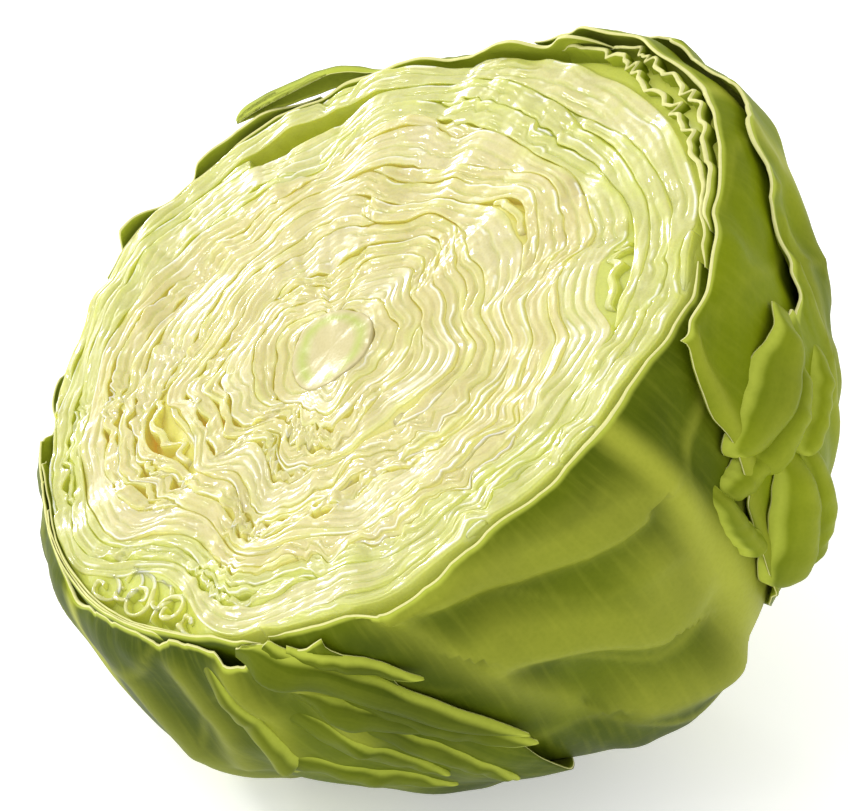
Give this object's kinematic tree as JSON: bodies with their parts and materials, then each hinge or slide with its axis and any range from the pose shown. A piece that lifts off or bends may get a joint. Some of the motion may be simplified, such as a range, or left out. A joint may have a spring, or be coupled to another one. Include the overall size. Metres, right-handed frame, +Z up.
{
  "type": "half cabbage head",
  "caption": "Half of a white cabbage head, cut across above its widest place, with packed inner leaves round a pithy core and loose green wrapper leaves.",
  "frame": {"origin": "centre of the small flat spot on the flank that the half head lies on, on the floor", "axes": "+Z up; the cut face looks up and away to -X, 33 degrees from level; the stem end is at the low side towards +X"},
  "size_m": [0.1813, 0.1752, 0.1518],
  "materials": {
    "pith": "moist pale pith with fine fibres, satin",
    "heart_leaf": "moist cream-yellow leaf, satin",
    "head_leaf": "cream leaf, satin where cut and smooth on its faces",
    "outer_leaf": "pale green leaf, satin where cut and waxy on its faces",
    "wrapper_leaf": "waxy lime to olive green with pale ribs and veins, soft sheen"
  },
  "bodies": {
    "root": {"core": "pith", "head_leaf_01": "heart_leaf", "head_leaf_02": "heart_leaf", "head_leaf_03": "heart_leaf", "head_leaf_04": "heart_leaf", "head_leaf_05": "heart_leaf", "head_leaf_06": "head_leaf", "head_leaf_07": "head_leaf", "head_leaf_08": "head_leaf", "head_leaf_09": "head_leaf", "head_leaf_10": "head_leaf", "head_leaf_11": "head_leaf", "head_leaf_12": "outer_leaf", "head_leaf_13": "outer_leaf", "head_leaf_14": "outer_leaf", "head_leaf_15": "outer_leaf", "wrapper_leaf_1": "wrapper_leaf", "wrapper_leaf_2": "wrapper_leaf", "wrapper_leaf_3": "wrapper_leaf", "wrapper_leaf_4": "wrapper_leaf", "wrapper_leaf_5": "wrapper_leaf", "wrapper_leaf_6": "wrapper_leaf"}
  },
  "joints": []
}
